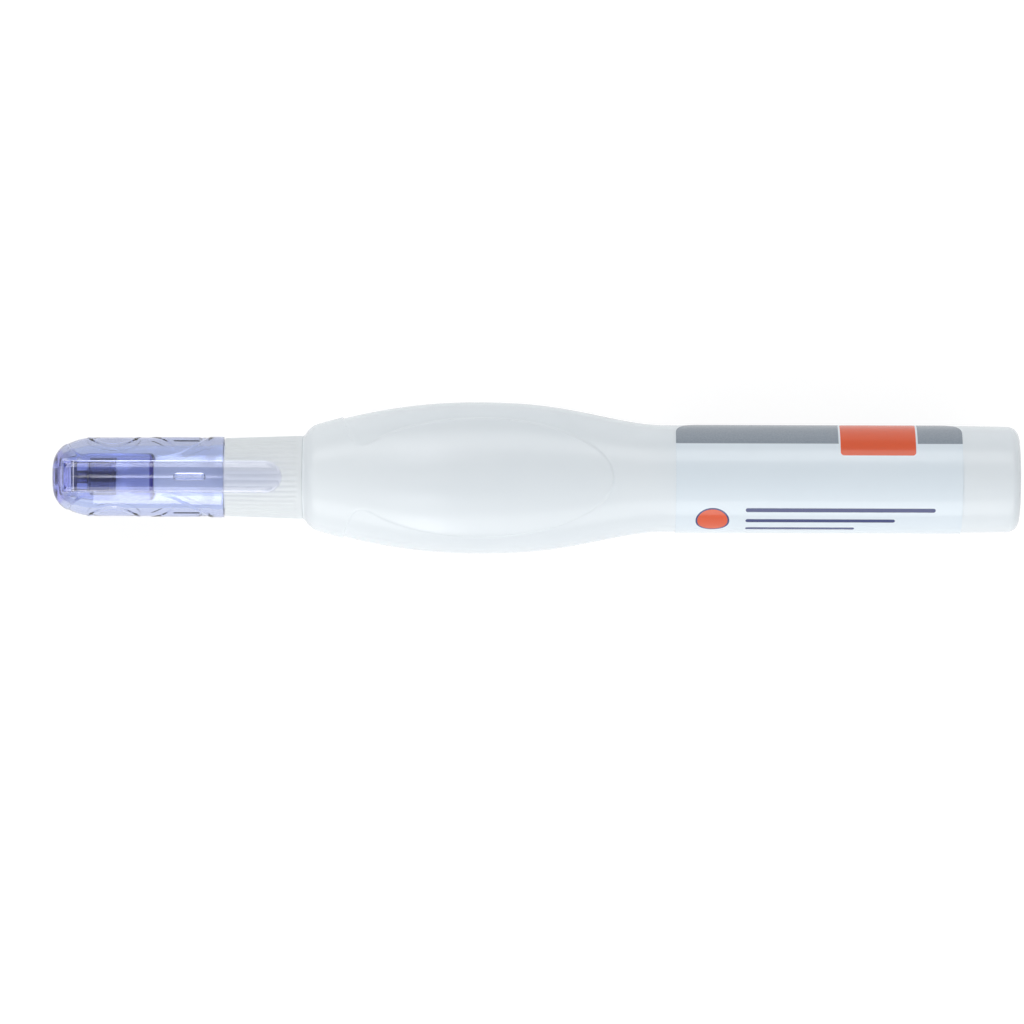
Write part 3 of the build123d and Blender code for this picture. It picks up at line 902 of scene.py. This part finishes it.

# Stage: a plain pale floor under the grip's lower pad, soft boxes beside and over the pen, short
# strips beside the cap, and a long-lens camera that looks straight down. Seen through the cap,
# the floor has a painted shadow that makes it darker on its +Y side, and the sky is darker
# straight overhead.
floor_height = -8.97
floor_half_size = 3000.0
paper_unseen = (0.7, 0.7, 0.7)
paper_seen = (0.3, 0.3, 0.3)
paper_through = (0.48, 0.48, 0.48)
paper_glow_seen = 0.8
through_glow_lit_and_shaded = (0.55, 0.29)
paper_shade_edge = (1.4, 3.6)
floor_corners = [
    (x * floor_half_size, y * floor_half_size, floor_height)
    for x, y in ((-1, -1), (1, -1), (1, 1), (-1, 1))
]
floor = finish_piece("floor", floor_corners, [(0, 1, 2, 3)], crease=30)
floor_paper = bpy.data.materials.new("floor_paper")
floor_paper.use_nodes = True
tree = floor_paper.node_tree
tree.nodes.clear()
output = tree.nodes.new("ShaderNodeOutputMaterial")
light_path = tree.nodes.new("ShaderNodeLightPath")


def seen_share(tree, light_path):
    """1 for rays that show the background: camera, mirror and clear ones."""
    mirrored = math_node(
        tree, "MAXIMUM", light_path.outputs["Is Camera Ray"], light_path.outputs["Is Glossy Ray"]
    )
    return math_node(tree, "MAXIMUM", mirrored, light_path.outputs["Is Transmission Ray"])


seen = seen_share(tree, light_path)
through = light_path.outputs["Is Transmission Ray"]
across = in_millimetres(tree, place_axes(tree)["Y"])
# Painted shadow: the floor's glow seen through the cap drops from the lit side to the shaded +Y
# side
shaded_glow = ranged(tree, across, *through_glow_lit_and_shaded, *paper_shade_edge)
glow_drop = math_node(tree, "SUBTRACT", paper_glow_seen, shaded_glow)
glow_drop = math_node(tree, "MULTIPLY", through, glow_drop)
glow = math_node(tree, "SUBTRACT", paper_glow_seen, glow_drop)
seen_tint = mixed_colour(tree, through, paper_seen, paper_through)
paper_white = tree.nodes.new("ShaderNodeBsdfDiffuse")
paper_tint = mixed_colour(tree, seen, paper_unseen, seen_tint)
tree.links.new(paper_tint, paper_white.inputs["Color"])
paper_glow = add_node(tree, "ShaderNodeEmission", Color=(1, 1, 1, 1))
tree.links.new(math_node(tree, "MULTIPLY", seen, glow), paper_glow.inputs["Strength"])
both = tree.nodes.new("ShaderNodeAddShader")
tree.links.new(paper_white.outputs["BSDF"], both.inputs[0])
tree.links.new(paper_glow.outputs["Emission"], both.inputs[1])
tree.links.new(both.outputs["Shader"], output.inputs["Surface"])
floor.data.materials.append(floor_paper)

sky_unseen = 0.43
sky_seen = 0.8
sky_overhead = 0.26
overhead_edge = (0.85, 0.96)
world = bpy.data.worlds.new("studio")
bpy.context.scene.world = world
world.use_nodes = True
tree = world.node_tree
tree.nodes.clear()
output = tree.nodes.new("ShaderNodeOutputWorld")
light_path = tree.nodes.new("ShaderNodeLightPath")
upward = place_axes(tree, "Generated")["Z"]
seen_sky = ranged(tree, upward, sky_seen, sky_overhead, *overhead_edge)
sky_gain = math_node(tree, "SUBTRACT", seen_sky, sky_unseen)
sky_glow = math_node(tree, "MULTIPLY_ADD", seen_share(tree, light_path), sky_gain, sky_unseen)
air = add_node(tree, "ShaderNodeBackground", Color=(1, 1, 1, 1))
tree.links.new(sky_glow, air.inputs["Strength"])
tree.links.new(air.outputs["Background"], output.inputs["Surface"])


def soft_box(name, tilt, distance, width, length, glow, shift):
    """A rectangular lamp that faces the pen from the side, tilted from straight above."""
    lamp = bpy.data.lights.new(name, "AREA")
    lamp.shape = "RECTANGLE"
    lamp.size = length
    lamp.size_y = width
    lamp.energy = glow * pi * width * length
    box = bpy.data.objects.new(name, lamp)
    box.rotation_euler = (radians(-tilt), 0, 0)
    box.location = (shift, distance * np.sin(radians(tilt)), distance * np.cos(radians(tilt)))
    bpy.context.scene.collection.objects.link(box)


# Each lamp: its name, tilt, distance, width, length, glow and shift along the pen
for lamp_row in (
    ("box_upper", 50, 0.6, 0.28, 1.2, 1.75, 0),
    ("box_lower", -66, 0.6, 0.38, 1.2, 1.82, 0),
    ("box_over", 0, 0.9, 0.05, 0.07, 2.6, -0.115),
    ("strip_upper", 32, 0.5, 0.235, 0.05, 3.7, -0.0756),
    ("strip_lower", -33, 0.5, 0.225, 0.05, 3.0, -0.0756),
    ("strip_low", -71, 0.5, 0.28, 0.05, 4.6, -0.0756),
):
    soft_box(*lamp_row)

view_width = 0.1432
view_centre = (-0.00329, -0.00476)
view_turn = 0.178
camera_height = 1.0
camera_data = bpy.data.cameras.new("camera")
camera_data.sensor_width = 36
camera_data.lens = camera_data.sensor_width * camera_height / view_width
camera = bpy.data.objects.new("camera", camera_data)
camera.location = (*view_centre, camera_height)
camera.rotation_euler = (0, 0, radians(view_turn))
bpy.context.scene.collection.objects.link(camera)
bpy.context.scene.camera = camera
bpy.context.scene.view_settings.view_transform = "Standard"
